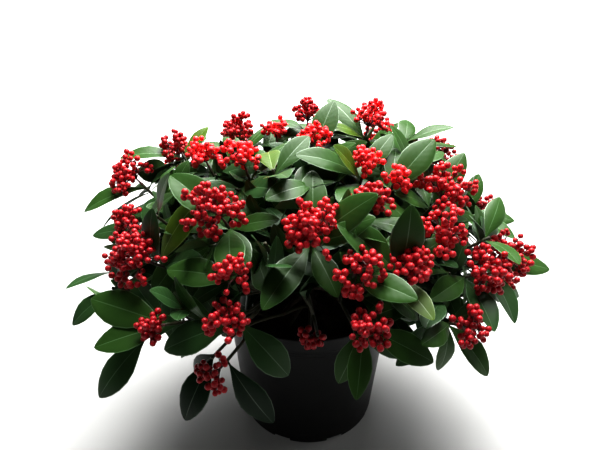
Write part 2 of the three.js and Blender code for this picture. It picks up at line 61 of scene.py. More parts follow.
def rounded(profile, radius, steps=4):
    """A profile with curved corners. Each corner gives way to (1-t)^2 a + 2t(1-t) corner + t^2 b,
    where a and b lie the radius away along its two sides, or 0.4 of a side that is short."""
    p = np.array(profile, float)
    row = [p[:1]]
    t = np.linspace(0, 1, steps + 1)[:, None]
    for before, corner, after in zip(p[:-2], p[1:-1], p[2:]):
        a, b = (
            corner + unit(end - corner) * min(radius, 0.4 * np.linalg.norm(end - corner))
            for end in (before, after)
        )
        row.append((1 - t) ** 2 * a + 2 * t * (1 - t) * corner + t**2 * b)
    return np.vstack([*row, p[-1:]])


def turned(profile, sides):
    """A surface of revolution whose profile starts and ends on the axis. Point (r, z) of the
    profile goes to (r cos a, r sin a, z) at each angle a, and each end closes in a fan."""
    r, z = np.array(profile[1:-1]).T
    a = np.arange(sides) * 2 * np.pi / sides
    rings = np.stack([np.outer(r, np.cos(a)), np.outer(r, np.sin(a)), np.outer(z, np.ones(sides))], -1)
    ends = np.array([[0, 0, profile[0][1]], [0, 0, profile[-1][1]]])
    points = np.vstack([rings.reshape(-1, 3), ends])
    i, j = np.meshgrid(np.arange(len(r) - 1) * sides, np.arange(sides), indexing="ij")
    k = (j + 1) % sides
    quads = np.stack([i + j, i + k, i + k + sides, i + j + sides], -1).reshape(-1, 4)
    j, k = j[0], k[0]
    last = (len(r) - 1) * sides
    bottom = np.stack([k, j, np.full(sides, len(points) - 2)], -1)
    top = np.stack([last + j, last + k, np.full(sides, len(points) - 1)], -1)
    return points, [quads, bottom, top]


def new_piece(name, points, faces, finishes, slot, nodes, kinds=None, uv=None, sharp=None):
    """A mesh from points in millimetres and arrays of faces, one face to a row. kinds numbers each
    face's finish, uv holds a pair for each point, and sharp tells from an edge's two points
    whether the surface has a crease there. The piece stands for its CAD nodes."""
    mesh = bpy.data.meshes.new(name)
    corners = np.concatenate([rows.ravel() for rows in faces]).astype(np.int32)
    sizes = np.concatenate([np.full(len(rows), rows.shape[1]) for rows in faces])
    mesh.vertices.add(len(points))
    mesh.vertices.foreach_set("co", (points / METRE).astype(np.float32).ravel())
    mesh.loops.add(len(corners))
    mesh.loops.foreach_set("vertex_index", corners)
    mesh.polygons.add(len(sizes))
    mesh.polygons.foreach_set("loop_start", (np.cumsum(sizes) - sizes).astype(np.int32))
    mesh.polygons.foreach_set("use_smooth", np.ones(len(sizes), bool))
    for finish in finishes:
        mesh.materials.append(finish)
    if kinds is not None:
        mesh.polygons.foreach_set("material_index", kinds.astype(np.int32))
    mesh.update(calc_edges=True)
    if uv is not None:
        layer = mesh.uv_layers.new(name="UVMap")
        layer.uv.foreach_set("vector", uv[corners].astype(np.float32).ravel())
    if sharp is not None:
        ends = np.zeros(len(mesh.edges) * 2, np.int32)
        mesh.edges.foreach_get("vertices", ends)
        crease = mesh.attributes.new("sharp_edge", "BOOLEAN", "EDGE")
        crease.data.foreach_set("value", sharp(*ends.reshape(-1, 2).T))
    piece = bpy.data.objects.new(name, mesh)
    bpy.context.scene.collection.objects.link(piece)
    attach(piece, "root")
    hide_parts(*nodes)
    return piece


def finish_of(name, color, roughness, **sockets):
    """A finish whose plain colour and numbers sit on the shader's own sockets."""
    finish = bpy.data.materials.new(name)
    finish.use_nodes = True
    shader = finish.node_tree.nodes["Principled BSDF"]
    shader.inputs["Base Color"].default_value = (*color, 1)
    shader.inputs["Roughness"].default_value = roughness
    for socket, value in sockets.items():
        shader.inputs[socket.replace("_", " ")].default_value = value
    return finish


def add_node(finish, kind, settings=None, **inputs):
    """A node in a finish. An input that is itself a socket is linked, and any other is set."""
    node = finish.node_tree.nodes.new("ShaderNode" + kind)
    for key, value in (settings or {}).items():
        setattr(node, key, value)
    for key, value in inputs.items():
        socket = node.inputs[int(key[1:])] if key[1:].isdigit() else node.inputs[key.replace("_", " ")]
        if isinstance(value, bpy.types.NodeSocket):
            finish.node_tree.links.new(value, socket)
        else:
            socket.default_value = value
    return node


def mottle(finish, scale, low, high, socket, detail=4):
    """Noise of a scale, spread from one value to another, on a socket of the shader."""
    where = add_node(finish, "TexCoord").outputs["Object"]
    noise = add_node(finish, "TexNoise", Vector=where, Scale=scale, Detail=detail, Roughness=0.6)
    if isinstance(low, tuple):
        ends = {"i6": (*low, 1), "i7": (*high, 1)}
        blend = add_node(finish, "Mix", {"data_type": "RGBA"}, i0=noise.outputs["Fac"], **ends)
        made = blend.outputs[2]
    else:
        spread = {"From_Min": 0.3, "From_Max": 0.7, "To_Min": low, "To_Max": high}
        made = add_node(finish, "MapRange", Value=noise.outputs["Fac"], **spread).outputs["Result"]
    shader = finish.node_tree.nodes["Principled BSDF"]
    finish.node_tree.links.new(made, shader.inputs[socket])


def grain(finish, scale, height, strength, detail=3, stretch=(1, 1, 1)):
    """Noise of a scale as a bump of a height in metres."""
    where = add_node(finish, "TexCoord").outputs["Object"]
    drawn = add_node(finish, "Mapping", Vector=where, Scale=stretch).outputs["Vector"]
    noise = add_node(finish, "TexNoise", Vector=drawn, Scale=scale, Detail=detail)
    bump = add_node(finish, "Bump", Height=noise.outputs["Fac"], Distance=height, Strength=strength)
    shader = finish.node_tree.nodes["Principled BSDF"]
    finish.node_tree.links.new(bump.outputs["Normal"], shader.inputs["Normal"])


def outside_at(z):
    """Outer radius of the pot's wall at a height: a straight taper from base to rim band."""
    return BASE_RADIUS + (WALL_TOP_RADIUS - BASE_RADIUS) * z / (POT_HEIGHT - RIM_BAND)


band_foot = POT_HEIGHT - RIM_BAND
step_foot = band_foot - STEP_BELOW
pot_profile = rounded(
    [
        (0, 0), (BASE_RADIUS - 1, 0), (BASE_RADIUS, 1.5),
        (outside_at(step_foot), step_foot), (outside_at(step_foot) + STEP_OUT, step_foot + 1),
        (outside_at(band_foot) + STEP_OUT, band_foot),
        (RIM_RADIUS - 0.8, band_foot + 0.8), (RIM_RADIUS, POT_HEIGHT - 1.5),
        (RIM_RADIUS - LIP, POT_HEIGHT), (outside_at(POT_HEIGHT) - WALL, POT_HEIGHT),
        (outside_at(POT_FLOOR) - WALL, POT_FLOOR), (0, POT_FLOOR),
    ],
    radius=LIP,
)
black_plastic = finish_of("black_plastic", (0.006, 0.006, 0.006), 0.5, Specular_IOR_Level=0.22)
mottle(black_plastic, 14, 0.42, 0.58, "Roughness")
mottle(black_plastic, 9, (0.0035, 0.0035, 0.004), (0.007, 0.007, 0.007), "Base Color")
grain(black_plastic, 900, 0.00012, 0.35)
pot = new_piece("pot_moulding", *turned(pot_profile, POT_SIDES), [black_plastic], "pot", ["pot"])

# The drain slots: boxes across the foot of the wall, cut out of it.
angles = (np.arange(DRAINS) + 0.5) * 2 * np.pi / DRAINS
block = np.array([(x, y, z) for x in (-1, 1) for y in (-1, 1) for z in (-1, 1)]) / 2
block = block * (DRAIN_DEPTH, DRAIN_WIDTH, 2 * DRAIN_HEIGHT) + (BASE_RADIUS + 2, 0, 0)
cos, sin = np.cos(angles)[:, None], np.sin(angles)[:, None]
x, y, z = block.T
cores = np.stack([x * cos - y * sin, x * sin + y * cos, z + 0 * cos], -1)
sides = np.array([(0, 1, 3, 2), (4, 6, 7, 5), (0, 4, 5, 1), (2, 3, 7, 6), (0, 2, 6, 4), (1, 5, 7, 3)])
cutter_mesh = bpy.data.meshes.new("drain_cores")
cutter_mesh.from_pydata(
    (cores.reshape(-1, 3) / METRE).tolist(),
    [],
    (sides[None] + 8 * np.arange(DRAINS)[:, None, None]).reshape(-1, 4).tolist(),
)
cutter = bpy.data.objects.new("drain_cores", cutter_mesh)
bpy.context.scene.collection.objects.link(cutter)
slots = pot.modifiers.new("drains", "BOOLEAN")
slots.object, slots.solver = cutter, "EXACT"
cut_pot = bpy.data.meshes.new_from_object(pot.evaluated_get(bpy.context.evaluated_depsgraph_get()))
pot.modifiers.clear()
pot.data = cut_pot
bpy.data.objects.remove(cutter)
pot.data.set_sharp_from_angle(angle=np.radians(CREASE))


# ----------------------------------------------------------------------------------------------
# The compost. Damp dark peat that fills the pot to a finger's width under the rim, a little
# mounded, with crumbs and bits of bark lying on it.
# ----------------------------------------------------------------------------------------------

COMPOST_BELOW, COMPOST_MOUND, CLEAR_OF_WALL = 18, 5, 0.5
BED_SIDES, BED_RINGS = 150, 46
LUMPS = ((1.5, 14), (0.9, 5), (0.5, 2.4))       # height and size of its lumps, coarse to fine
FADE_DOWN, FADE_IN = 6, 3       # they fade out this far below the edge and this near to the wall
CRUMBS, CRUMB_SIDES = 700, 6
compost_edge = POT_HEIGHT - COMPOST_BELOW
compost_top = compost_edge + COMPOST_MOUND


def chance(shoot, leaf=0, purpose=0):
    """A repeatable number from 0 to 1 for three keys: the fraction of 43758.5453 sin(keys)."""
    wave = np.sin(shoot * 12.9898 + leaf * 78.233 + purpose * 37.719) * 43758.5453
    return wave - np.floor(wave)


def lumps(points, size, seed=0):
    """Smooth noise from -1 to 1. Each corner of a cube of that size has a number by chance, and
    inside the cube they blend by 3t^2 - 2t^3 along each side."""
    place = points / size + 100
    cell = np.floor(place)
    t = place - cell
    t = t * t * (3 - 2 * t)
    total = 0
    for corner in np.ndindex(2, 2, 2):
        weight = np.prod(np.where(corner, t, 1 - t), axis=-1)
        total = total + weight * chance((cell + corner) @ (1, 57, 113), seed, 9)
    return 2 * total - 1


inner = outside_at(compost_edge) - WALL - CLEAR_OF_WALL
foot = POT_FLOOR + CLEAR_OF_WALL
bed = [(0, foot), (outside_at(POT_FLOOR) - WALL - CLEAR_OF_WALL, foot)]
bed += [
    (inner * r, compost_edge + COMPOST_MOUND * (1 - r**4)) for r in np.linspace(0, 1, BED_RINGS)[:0:-1]
]
bed += [(0, compost_top)]
points, faces = turned(bed, BED_SIDES)
from_wall = np.clip(inner - np.hypot(*points.T[:2]), 0, FADE_IN)
loose = np.clip((points[:, 2] - compost_edge + FADE_DOWN) / FADE_DOWN, 0, 1) * from_wall / FADE_IN
points[:, 2] += loose * sum(height * lumps(points, size, i) for i, (height, size) in enumerate(LUMPS))

# The crumbs: double cones, swollen, drawn out, flattened and turned by chance.
n = np.arange(CRUMBS)
turn, out = 2 * np.pi * chance(n, 1, 20), (inner - FADE_IN) * np.sqrt(chance(n, 2, 20))
height = compost_edge + COMPOST_MOUND * (1 - (out / inner) ** 4)
spot = np.stack([out * np.cos(turn), out * np.sin(turn), height], -1)
ring = np.arange(CRUMB_SIDES)
a, after = 2 * np.pi * ring / CRUMB_SIDES, (ring + 1) % CRUMB_SIDES
ball = np.vstack([(0, 0, 1), np.stack([0.9 * np.cos(a), 0.9 * np.sin(a), 0.1 + 0 * a], -1), (0, 0, -1)])
shell = np.vstack([
    np.stack([0 * ring, 1 + ring, 1 + after], -1),
    np.stack([0 * ring + len(ball) - 1, 1 + after, 1 + ring], -1),
])
girth = (0.7 + 1.9 * chance(n, 3, 20) ** 2)[:, None, None]
crumb = ball * girth * (1 + 0.5 * chance(n[:, None], np.arange(len(ball)), 21))[..., None]
crumb[..., 0] *= 1 + 1.2 * chance(n, 4, 20)[:, None]
crumb[..., 2] *= 0.6
x, y, z = np.moveaxis(crumb, -1, 0)
cos, sin = np.cos(7 * turn)[:, None], np.sin(7 * turn)[:, None]
crumb = np.stack([x * cos - y * sin, x * sin + y * cos, z], -1) + spot[:, None]
faces.append((shell[None] + len(ball) * n[:, None, None]).reshape(-1, 3) + len(points))
points = np.vstack([points, crumb.reshape(-1, 3)])

peat = finish_of("damp_peat", (0.030, 0.019, 0.012), 0.95, Specular_IOR_Level=0.2)
mottle(peat, 320, (0.010, 0.0065, 0.0045), (0.05, 0.031, 0.019), "Base Color")
grain(peat, 700, 0.0006, 0.8)
new_piece("compost_fill", points, faces, [peat], "compost", ["compost"])


# ----------------------------------------------------------------------------------------------
# The stems. Five short woody stems rise from the compost on a small ring and lean outwards. Their
# bark is grey-brown and smooth, with shallow furrows and the scars of fallen leaves.
# ----------------------------------------------------------------------------------------------

UP = np.array([0, 0, 1.0])
STEM = dict(count=5, first=270, ring=22, lean=22, height=58, flare=12, base=8, tip=5, sunk=6, steps=40)


def bow(a, b, c, steps):
    """Points on (1-t)^2 a + 2t(1-t) b + t^2 c."""
    t = np.linspace(0, 1, steps + 1)[:, None]
    return (1 - t) ** 2 * a + 2 * t * (1 - t) * b + t**2 * c


def level_side(axis):
    """The level direction square to each of an array of directions."""
    return unit(np.stack([-axis[..., 1], axis[..., 0] + 1e-6, 0 * axis[..., 0]], -1))


def tubes(lines, radii, sides, relief=None):
    """Closed tubes along an array of lines, ring by ring. A ring's first arm is the last ring's
    with its part along the new heading taken out, its second their cross product, and point j
    lies at radius (cos j first + sin j second). relief adds a share of the radius by place."""
    lines = np.asarray(lines, float)
    count, rings = lines.shape[:2]
    heading = unit(np.gradient(lines, axis=1))
    arm = level_side(heading[:, 0])
    j = np.arange(sides) * 2 * np.pi / sides
    row = []
    for i in range(rings):
        along = heading[:, i]
        arm = unit(arm - along * np.sum(arm * along, -1, keepdims=True))
        other = np.cross(along, arm)
        row.append(arm[:, None] * np.cos(j)[:, None] + other[:, None] * np.sin(j)[:, None])
    arms = np.stack(row, 1)
    radii = np.broadcast_to(radii, (count, rings))[..., None, None]
    points = lines[:, :, None] + arms * radii
    if relief is not None:
        points = lines[:, :, None] + arms * radii * (1 + relief(points)[..., None])
    i, k = np.meshgrid(np.arange(rings - 1) * sides, np.arange(sides), indexing="ij")
    after = (k + 1) % sides
    one = np.stack([i + k, i + after, i + after + sides, i + k + sides], -1).reshape(-1, 4)
    start = (np.arange(count) * rings * sides)[:, None, None]
    foot = np.arange(sides)[::-1][None]
    tip = np.arange(sides)[None] + (rings - 1) * sides
    caps = np.concatenate([(foot + start[:, 0]), (tip + start[:, 0])])
    return points.reshape(-1, 3), [(one[None] + start).reshape(-1, 4), caps]


def bark_relief(points):
    """Furrows along the wood, broad swellings, and a low ring now and then as of a leaf's scar."""
    rings = np.clip(np.sin(points[..., 2] * 0.55 + 3 * lumps(points, 30, 5)) - 0.86, 0, 1)
    return 0.07 * lumps(points * (1, 1, 0.3), 2.2, 3) + 0.06 * lumps(points, 9, 4) + 0.5 * rings


bark = finish_of("grey_brown_bark", (0.17, 0.115, 0.07), 0.85, Specular_IOR_Level=0.25)
mottle(bark, 260, (0.025, 0.017, 0.011), (0.075, 0.054, 0.036), "Base Color")
grain(bark, 500, 0.0007, 0.9, stretch=(1, 1, 0.3))

stems = []
for bearing in np.radians(STEM["first"] + np.arange(STEM["count"]) * 360 / STEM["count"]):
    out = np.array([np.cos(bearing), np.sin(bearing), 0])
    foot = out * STEM["ring"] + UP * compost_top
    tip = foot + out * STEM["lean"] + UP * STEM["height"]
    knee = foot + UP * STEM["height"] / 2
    stems.append(dict(out=out, foot=foot, knee=knee, tip=tip, onward=unit(tip - knee)))

rise = np.linspace(0, 1, STEM["steps"] + 1)
width = STEM["base"] + (STEM["tip"] - STEM["base"]) * rise
width += (STEM["flare"] - STEM["base"]) * np.clip(1 - 5 * rise, 0, 1) ** 2
lines = [
    np.vstack([s["foot"] - UP * STEM["sunk"], bow(s["foot"], s["knee"], s["tip"], STEM["steps"])])
    for s in stems
]
stem_nodes = [f"stem_{i + 1}" for i in range(STEM["count"])]
points, faces = tubes(lines, np.append(width[0] * 1.1, width), 22, bark_relief)
new_piece("stems", points, faces, [bark], "bark", stem_nodes)


# ----------------------------------------------------------------------------------------------
# The boughs. Each stem forks into boughs that spread under the crown, one for each group of
# shoots. Same wood as the stems, tapering to the knot where its twigs start.
# ----------------------------------------------------------------------------------------------

# The crown's dome: its half widths, the height of its middle, how far it rises and hangs from there,
# and the height on the axis that the boughs head out from.
CROWN = dict(radius_x=258, radius_y=225, middle=240, up=165, down=60, foot=205)
# A bough's radii, the share of the way to its shoots where it ends, the shares of a stem's height
# between which it leaves, its least height over the rim, and how far it bends as a share of its span.
BOUGH = dict(base=4.2, tip=2.8, share=0.6, lowest=0.3, highest=0.85, over_rim=18, steps=36)
BOUGH_BEND, LEADER_BEND = 0.5, 0.45
# The groups behind: how many, their places round, the degrees from the vertical of their shoots from
# the highest to the skirt, and their heads' reach and sizes.
BACK = dict(count=5, first=30, step=30, high=50, low=72, skirt=86, reach=1.06, sizes=(29, 27))

# Where the shoots of each group end: (degrees round, degrees from the vertical, reach against the
# dome, radius of the head of fruit or None), and the leaves that show most as (degrees round,
# degrees above the level, size).
GROUPS = {
    "front": [
        ((270, 42, 1, 34), [(85, 45, 1), (335, 45, 1.15), (235, -20, 1.1), (295, -25, 0.8), (335, 35, 1)]),
        ((256, 47, 1, None), []), ((272, 86, 0.76, None), []),
    ],
    "front_low": [
        ((270, 114, 0.62, 17), []),
        ((240, 118, 0.95, None), [(220, -55, 1), (145, -50, 0.8)]),
    ],
    "front_left": [((250, 58, 1, 23), [(165, 0, 1)]), ((251, 72, 1, 23), [(185, -25, 1), (350, -50, 1)])],
    "front_right": [
        ((282, 55, 1, 25), [(315, 5, 0.9)]),
        ((283, 73, 1, 24), [(355, -30, 1), (215, -65, 0.8), (260, -46, 0.85)]),
    ],
    "left_front_low": [
        ((231, 82, 1, 20), [(165, 10, 1.15), (192, -12, 1)]),
        ((246, 112, 1, 21), [(340, -55, 1.1)]),
        ((222, 104, 1, None), [(210, -46, 1.1)]),
    ],
    "left_front": [
        ((215, 64, 1, 37), [(310, 85, 0.9), (20, 55, 1.15)]),
        ((208, 50, 1, None), [(325, 65, 0.8)]),
    ],
    "left": [
        ((195, 60, 1, 20), [(175, -10, 0.8)]),
        ((205, 84, 1, None), [(200, -35, 0.85)]), ((190, 88, 1, None), [(235, 10, 0.85)]),
    ],
    "upper_left": [
        ((174, 52, 1.13, 29), [(185, -20, 1.1)]),
        ((160, 40, 1.12, 23), [(185, 3, 1.05), (55, 38, 0.7)]),
        ((174, 31, 1, 24), []),
    ],
    "upper_front_left": [
        ((234, 40, 1, 36), [(150, 30, 1.1), (260, -25, 1), (340, 20, 0.75)]),
        ((208, 20, 1, 25), []),
        ((242, 20, 1, None), [(100, 2, 0.85), (45, 30, 0.8)]),
    ],
    "top_left": [((137, 28, 1.07, 25), []), ((116, 23, 1.02, 20), [(40, 15, 0.8)])],
    "top": [((73, 3, 1, 22), [(65, 20, 0.8), (60, 45, 1)]), ((91, 19, 1.12, 23), [(140, 5, 0.8)])],
    "top_right": [
        ((45, 23, 1.13, 28), [(135, 30, 1), (200, 20, 0.8)]),
        ((30, 33, 1.08, None), [(350, 22, 0.8), (75, 15, 0.8)]), ((347, 29, 1, None), []),
    ],
    "upper_front_right": [
        ((315, 20, 1, 24), [(200, 25, 1.1), (45, 40, 0.85), (210, 45, 0.8)]),
        ((294, 35, 1, 24), []),
        ((272, 24, 1, None), [(215, -5, 0.8)]),
    ],
    "right_high": [
        ((335, 41, 1, 32), [(45, 40, 1), (210, 30, 0.8)]),
        ((318, 29, 1, 20), [(75, 30, 0.8), (35, 35, 1.05)]),
    ],
    "right_front": [
        ((313, 50, 1, 28), []),
        ((321, 68, 1, 30), [(220, 0, 0.8), (280, -15, 0.9)]),
        ((334, 61, 1, None), [(60, 28, 0.82), (285, 5, 0.8)]),
    ],
    "right_front_low": [
        ((296, 57, 1, 27), [(285, 85, 1), (185, 45, 1.1), (30, 25, 0.8), (295, -10, 0.8)]),
        ((308, 81, 1, 22), [(230, 10, 0.8), (160, -90, 0.8), (335, -45, 0.9), (20, 5, 0.8)]),
    ],
    "right": [
        ((339, 72, 1, 30), [(355, -5, 0.95), (280, -20, 1.05)]),
        ((352, 96, 1, 22), [(10, -35, 0.8)]), ((330, 86, 0.88, None), []),
    ],
}
for i in range(BACK["count"]):
    azimuth = BACK["first"] + i * BACK["step"]
    GROUPS[f"back_{i + 1}"] = [
        ((azimuth, BACK["high"], BACK["reach"], BACK["sizes"][0]), []),
        ((azimuth - BACK["step"] / 2, BACK["low"], 1, BACK["sizes"][1]), []),
        ((azimuth + BACK["step"] / 2, BACK["skirt"], 1, None), []),
    ]


def toward(azimuth, lean):
    """The direction at degrees round from +X and degrees from the vertical."""
    a, b = np.radians(azimuth), np.radians(lean)
    return np.array([np.sin(b) * np.cos(a), np.sin(b) * np.sin(a), np.cos(b)])


def end_of(shoot, spot, shown):
    """A shoot's end on the dome: (x sin cos, y sin sin, middle + up cos), with the shoot there
    leaning 0.8 of the dome's own angle."""
    azimuth, tilt, reach, size = spot
    x, y, rise = toward(azimuth, tilt)
    height = CROWN["middle"] + rise * (CROWN["up"] * reach if rise > 0 else CROWN["down"])
    point = np.array([CROWN["radius_x"] * reach * x, CROWN["radius_y"] * reach * y, height])
    axis = toward(azimuth, 0.8 * tilt)
    return dict(shoot=shoot, point=point, axis=axis, tilt=tilt, size=size, shown=shown)


masses = []
for m, (name, rows) in enumerate(GROUPS.items()):
    ends = [end_of(10 * m + e, *row) for e, row in enumerate(rows)]
    middle = np.mean([end["point"] for end in ends], axis=0)
    root = UP * CROWN["foot"] + BOUGH["share"] * (middle - UP * CROWN["foot"])
    root[2] = max(root[2], POT_HEIGHT + BOUGH["over_rim"])
    tilt = np.mean([end["tilt"] for end in ends])
    masses.append(dict(name=name, ends=ends, middle=middle, root=root, tilt=tilt))

posts = []      # (point, radius): a round place that leaves stay out of


def keep_clear(line, radius):
    """Marks the places along a limb, four to each of its stretches."""
    for a, b in zip(line[:-1], line[1:]):
        posts.extend((a + (b - a) * t / 4, radius) for t in range(4))


# The tries that a leaf gets, and the room in millimetres that it leaves to other leaves, to heads,
# whose edges it may reach over, to boughs, twigs, the pot and the ground.
ROOM = dict(tries=5, leaf=7.5, fine_leaf=5.5, head=-3, bough=7, twig=4, pot=5, ground=14)
ONLOOKER = np.array([0, -600, 600])     # what shows from here is kept open
# The places before a head that stay open: how many, and their step and radius as shares of its own.
HEAD_LIGHT = dict(places=4, step=0.8, radius=0.9)
for stem in stems:
    keep_clear(bow(stem["foot"], stem["knee"], stem["tip"], 4), ROOM["bough"] + STEM["base"])
bough_lines = []
for stem in stems:
    flat = [mass["middle"] * (1, 1, 0) for mass in masses]
    carried = [
        mass for mass, to in zip(masses, flat) if stem["out"] @ to >= max(o["out"] @ to for o in stems)
    ]
    carried.sort(key=lambda mass: -mass["tilt"])
    for i, mass in enumerate(carried):
        leader = i == len(carried) - 1
        spread = BOUGH["highest"] - BOUGH["lowest"]
        t = 1 if leader else BOUGH["lowest"] + spread * i / (len(carried) - 1)
        start = (1 - t) ** 2 * stem["foot"] + 2 * t * (1 - t) * stem["knee"] + t**2 * stem["tip"]
        root, onward = mass["root"], stem["onward"]
        inward = unit(root - mass["middle"])
        span = np.linalg.norm(root - start)
        knee = start + onward * span * LEADER_BEND if leader else root + inward * span * BOUGH_BEND
        knee[2] = max(knee[2], start[2])
        line = bow(start - onward * STEM["tip"] / 2 * leader, knee, root, BOUGH["steps"])
        mass["heading"] = unit(line[-1] - line[-2])
        bough_lines.append(line)
        keep_clear(line[::9], ROOM["bough"])

taper = np.linspace(BOUGH["base"], BOUGH["tip"], BOUGH["steps"] + 1)
bough_nodes = [f"bough_{mass['name']}" for mass in masses]
points, faces = tubes(bough_lines, taper, 14, bark_relief)
new_piece("boughs", points, faces, [bark], "bark", bough_nodes)


# ----------------------------------------------------------------------------------------------
# The twigs. From a knot at the bough's tip a slim green-brown twig bends out to each shoot's end,
# and leafy side shoots and spurs leave it lower down.
# ----------------------------------------------------------------------------------------------

# A twig's radii, the length of its fork and of the straight neck under its tip, and how far it starts
# inside the knot. Then how far under the tip a side shoot leaves it, and that shoot's length and tilt.
TWIG = dict(base=2.2, tip=1.8, fork=9, neck=38, sunk=6, steps=13, neck_steps=5)
SHOOT = dict(below=26, length=36, radius=1.6, tip=1.2, tilt=56, steps=5)
STALK = 0.6     # the meeting of a head's stalks below its middle, as a share of its radius
# A spur leaves the twig at one of these steps of its line, and the second number is its key for chance.
SPUR = dict(places=((2, 9), (4, 6), (6, 10), (8, 7), (11, 8)), tilt=62, length=20, spread=14)


def turned_about(v, axis, angle):
    """A vector turned about an axis: v cos + (axis x v) sin + axis (axis . v)(1 - cos)."""
    return v * np.cos(angle) + np.cross(axis, v) * np.sin(angle) + axis * (axis @ v) * (1 - np.cos(angle))


heads = [end for mass in masses for end in mass["ends"] if end["size"]]
for head in heads:
    shares = [
        np.linalg.norm(other["point"] - head["point"]) * head["size"] / (head["size"] + other["size"])
        for other in heads if other is not head
    ]
    x, y, z = head["point"]
    rim = np.hypot(np.hypot(x, y) - RIM_RADIUS, z - POT_HEIGHT)
    head["radius"] = min(head["size"], min(shares), rim - ROOM["pot"])


def off_the_pot(points):
    """Whether places lie above the pot's rim or outside it."""
    out = np.hypot(points[..., 0], points[..., 1])
    return (points[..., 2] > POT_HEIGHT + ROOM["pot"]) | (out > RIM_RADIUS + ROOM["pot"])


def offshoot(end, shoot, key, start, tilt, length):
    """A straight shoot from a place on the twig of a shoot's end. It leaves the end's axis by the
    tilt in degrees, to a side that chance picks by the key."""
    axis = end["axis"]
    swing = turned_about(level_side(axis), axis, 2 * np.pi * chance(end["shoot"], key, 7))
    away = turned_about(axis, swing, np.radians(tilt))
    return dict(shoot=shoot, start=start, to=start + away * length, axis=away, tilt=end["tilt"])


twig_lines, side_shoots, inner_shoots = [], [], []
for mass in masses:
    fork = mass["root"] + mass["heading"] * TWIG["fork"]
    for end in mass["ends"]:
        point, axis = end["point"], end["axis"]
        tip = point - axis * STALK * end["radius"] if end["size"] else point
        neck = tip - axis * TWIG["neck"]
        foot = fork - mass["heading"] * (0.4 * TWIG["fork"] + TWIG["sunk"])
        knee = neck - axis * 0.4 * np.linalg.norm(foot - neck)
        bend = bow(foot, knee, neck, TWIG["steps"])
        line = np.vstack([bend, bow(neck, (neck + tip) / 2, tip, TWIG["neck_steps"])[1:]])
        twig_lines.append(line)
        keep_clear(line[::6], ROOM["twig"])
        end["tip"] = tip
        for place, key in SPUR["places"]:
            length = SPUR["length"] + SPUR["spread"] * chance(end["shoot"], key, 8)
            number = end["shoot"] + 0.1 * key
            inner_shoots.append(offshoot(end, number, key, line[place], SPUR["tilt"], length))
        if not end["size"]:
            continue
        posts.append((point, end["radius"] + ROOM["head"]))
        for way in [axis] if mass["name"].startswith("back") else [axis, unit(ONLOOKER - point)]:
            for i in range(HEAD_LIGHT["places"]):
                spot = point + way * end["radius"] * HEAD_LIGHT["step"] * (i + 1)
                posts.append((spot, end["radius"] * HEAD_LIGHT["radius"]))
        start = tip - axis * SHOOT["below"]
        side = offshoot(end, end["shoot"] + 5, 0, start, SHOOT["tilt"], SHOOT["length"])
        if off_the_pot(side["to"]):
            side_shoots.append(side)


# ----------------------------------------------------------------------------------------------
# The leaves. Leathery evergreen blades, a thick pale rib along the middle and a rolled edge, in
# whorls under each head and in rosettes at the ends of the leafy shoots.
# ----------------------------------------------------------------------------------------------

# A leaf's length and how much it varies, its width as a share of that, and how much its pitch varies.
LEAF = dict(length=83, spread=10, width=0.38, lean=22)
# Kinds of shoot: leaves, degrees off the axis and of a leaf's bend, its size, the way from one leaf
# to the next down the stem, and how far below the tip the first one stands.
WHORL = dict(leaves=5, pitch=68, bend=34, scale=0.88, step=2.4, below=6.5)
LOWER = dict(leaves=3, pitch=84, bend=40, scale=0.95, step=5, below=26)
ROSETTE = dict(leaves=5, pitch=56, bend=26, scale=0.84, step=2.4, below=2)
FILL = dict(leaves=5, pitch=62, bend=30, scale=0.8, step=3, below=2)
FINE = dict(whorl=4, rosette=3)     # leaves that finer growth adds to each
TURN = 137.508      # degrees from one leaf to the next round its stem
# A leaf hangs more from the first tilt of its shoot in degrees, over so many more.
DROOP = dict(first=60, over=50, most=0.6)
RETRY = dict(turn=17, pitch=9, shorter=0.05, shown_turn=6, shown_lift=5)    # at each further attempt
SHOWN_FROM = 40     # the listed leaves are numbered from here
# The places before a listed leaf that stay open: how many on a ray, how far the first is, their
# step and radius, where on the leaf the rays start, and how far its face turns to the onlooker.
LEAF_LIGHT = dict(places=4, first=16, step=18, radius=11, shares=(0.3, 0.6, 0.88), turn=0.7)
# How far out of the dome a seeded leaf may reach, with the dome made this much taller and deeper.
LIMIT = dict(reach=1.1, up=1.14, down=3)
# No seeded leaf hangs under the skirt, which rises outwards from the rim, or in the opening in front.
SKIRT = dict(height=190, slope=0.3)
MOUTH = dict(middle=266, half_width=25, height=262, slope=0.67, inmost=40)
# Nine points of a leaf: (share of its length, share of its half width).
PROBES = np.array([(s, h * w) for s, w in ((0.35, 0.6), (0.62, 0.9), (0.9, 0.35)) for h in (-1, 0, 1)])


def upper_face(axis, direction):
    """The way a leaf's upper side looks: its shoot's way, lifted, square to the leaf."""
    face = axis + 0.5 * UP
    return unit(face - direction * (face @ direction))


def bend_of(kind, shoot, number, purpose):
    """The angle that a leaf bends through: 0.7 to 1.3 of its kind's, by chance."""
    return np.radians(kind["bend"] * (0.7 + 0.6 * chance(shoot, number, purpose)))


